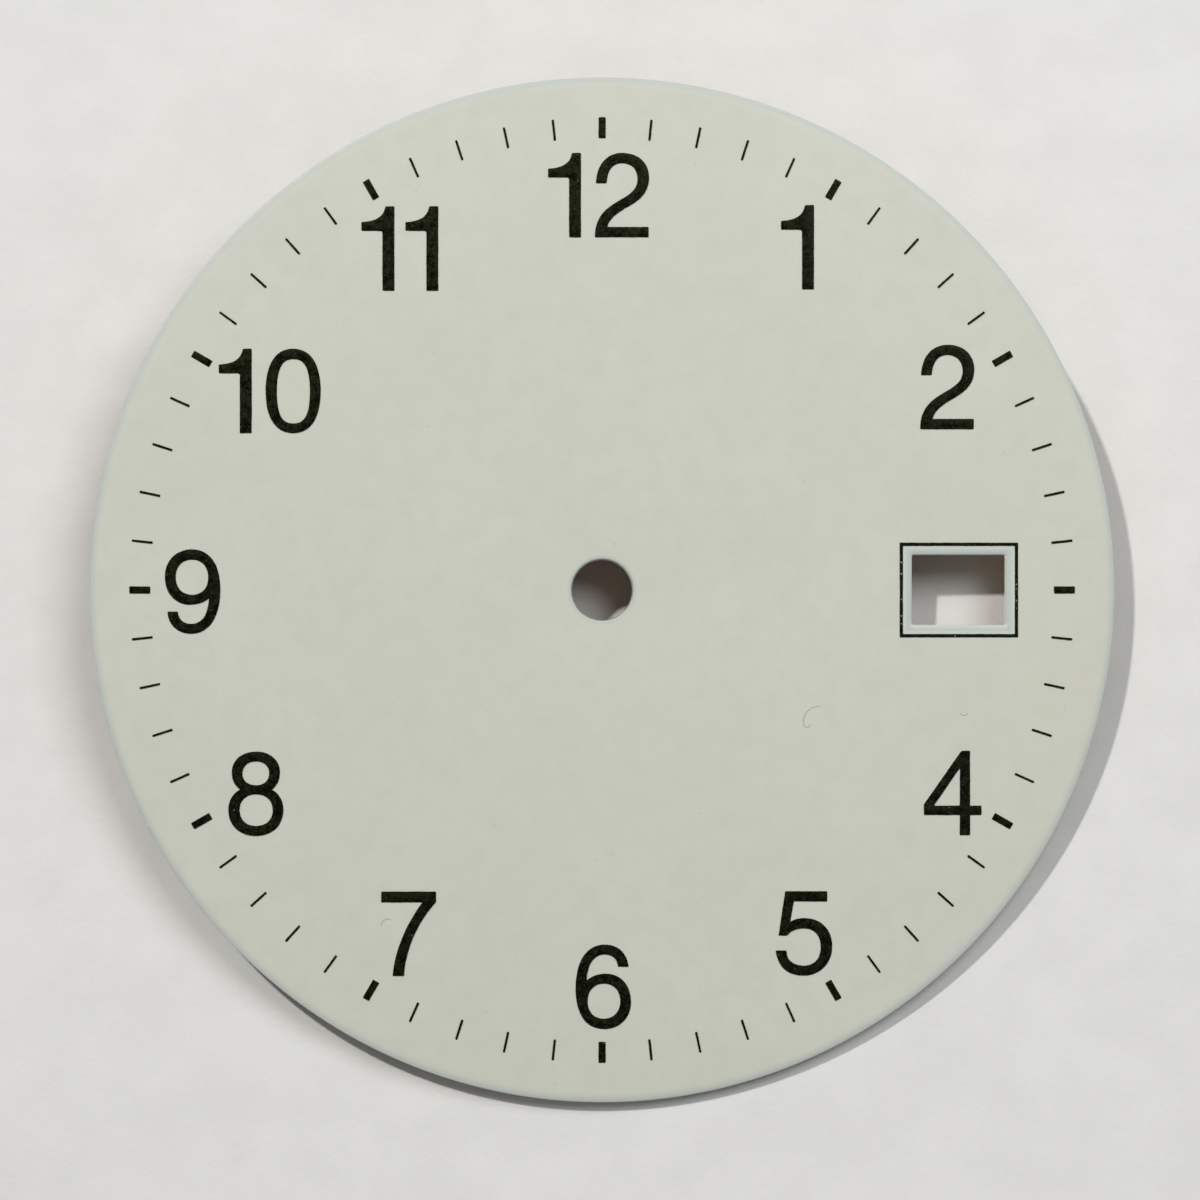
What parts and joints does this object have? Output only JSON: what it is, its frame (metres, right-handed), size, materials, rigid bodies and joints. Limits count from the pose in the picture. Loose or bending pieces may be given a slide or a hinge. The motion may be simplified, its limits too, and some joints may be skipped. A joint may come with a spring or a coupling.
{
  "type": "watch dial",
  "caption": "Round white lacquered watch dial with printed numerals and minute track, a centre hole for the hands, a framed date window and locating feet on the back.",
  "frame": {"origin": "centre of the centre hole on the dial's back face, which seats on the movement", "axes": "+Z out of the printed face towards the reader, +Y towards 12 o'clock, +X towards 3 o'clock"},
  "size_m": [0.029, 0.029, 0.002],
  "materials": {
    "brass_blank": "satin",
    "lacquer": "satin",
    "ink": "satin",
    "foot_copper": "satin",
    "braze": "satin"
  },
  "bodies": {
    "root": {"dial_plate": "brass_blank", "white_lacquer": "lacquer", "date_frame_line": "ink", "hour_marks": "ink", "minute_marks": "ink", "numeral_1": "ink", "numeral_2": "ink", "numeral_4": "ink", "numeral_5": "ink", "numeral_6": "ink", "numeral_7": "ink", "numeral_8": "ink", "numeral_9": "ink", "numeral_10": "ink", "numeral_11": "ink", "numeral_12": "ink", "dial_foot_right": "foot_copper", "dial_foot_left": "foot_copper", "foot_braze_right": "braze", "foot_braze_left": "braze"}
  },
  "joints": []
}
